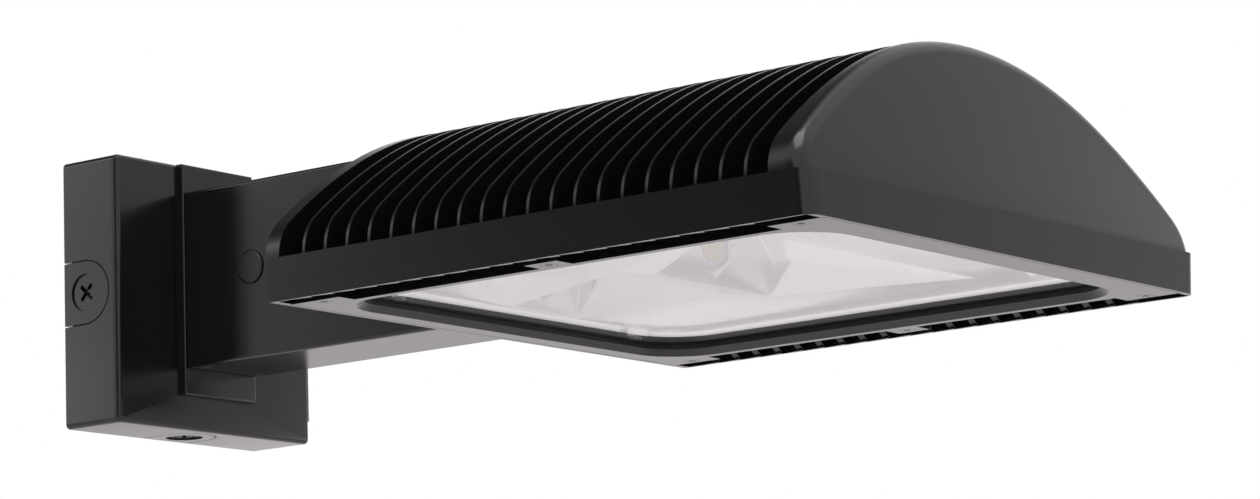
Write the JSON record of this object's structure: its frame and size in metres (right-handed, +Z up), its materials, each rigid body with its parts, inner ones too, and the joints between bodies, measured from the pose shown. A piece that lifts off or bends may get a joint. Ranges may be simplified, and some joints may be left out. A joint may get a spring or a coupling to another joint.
{
  "type": "wall pack light",
  "caption": "Dark painted wall pack light: square wall box with hinged cover, hollow box arm, and a finned arched head with a flat glass lens underneath.",
  "frame": {"origin": "centre of the wall box's back face, on the wall", "axes": "+Z up, the light stands out from the wall along -Y, +X to the right for someone facing the wall"},
  "size_m": [0.354, 0.574, 0.1517],
  "materials": {
    "housing_paint": "dark bronze powder coat, semi-gloss",
    "seal_rubber": "matte silicone",
    "steel": "plated steel",
    "lens_glass": "clear tempered glass",
    "reflector": "bright formed sheet",
    "led_phosphor": "silicone over phosphor",
    "led_board": "metal-core board, white mask",
    "led_holder": "moulded white",
    "driver_can": "plain can",
    "terminal_plastic": "moulded",
    "plug_plastic": "satin"
  },
  "bodies": {
    "wall_bracket": {"wall_box": "housing_paint", "wall_seal": "seal_rubber", "cover_gasket": "seal_rubber", "hinge_pins": "steel", "clamp_screw": "steel", "terminal_block": "terminal_plastic", "earth_screw": "steel", "conduit_insert_bottom": "housing_paint", "conduit_insert_left": "housing_paint", "conduit_insert_right": "housing_paint", "conduit_plug_bottom": "housing_paint", "conduit_plug_left": "housing_paint", "conduit_plug_right": "housing_paint"},
    "luminaire": {"arm_bolts_box": "steel", "arm_bolts_head": "steel", "arm_casting": "housing_paint", "arm_hatch_lid": "housing_paint", "arm_hatch_screws": "steel", "arm_hatch_seal": "seal_rubber", "arm_seal_box": "seal_rubber", "arm_seal_head": "seal_rubber", "driver_screws": "steel", "front_cover": "housing_paint", "glass_seal_lower": "seal_rubber", "glass_seal_upper": "seal_rubber", "head_housing": "housing_paint", "led_board_front": "led_board", "led_board_rear": "led_board", "led_driver": "driver_can", "led_emitter_front": "led_phosphor", "led_emitter_rear": "led_phosphor", "led_holder_front": "led_holder", "led_holder_rear": "led_holder", "led_holder_screws": "steel", "lens_frame": "housing_paint", "lens_frame_screws": "housing_paint", "lens_frame_seal": "seal_rubber", "lens_glass": "lens_glass", "reflector": "reflector", "reflector_screws": "steel", "sensor_hole_plug": "plug_plastic", "wire_grommet_box": "seal_rubber", "wire_grommet_head": "seal_rubber"}
  },
  "joints": [
    {"name": "cover_hinge", "type": "hinge", "parent": "wall_bracket", "child": "luminaire", "pos_m": [0.078, -0.0365, 0], "axis": [0, 0, 1], "range_deg": [0, 70]}
  ]
}
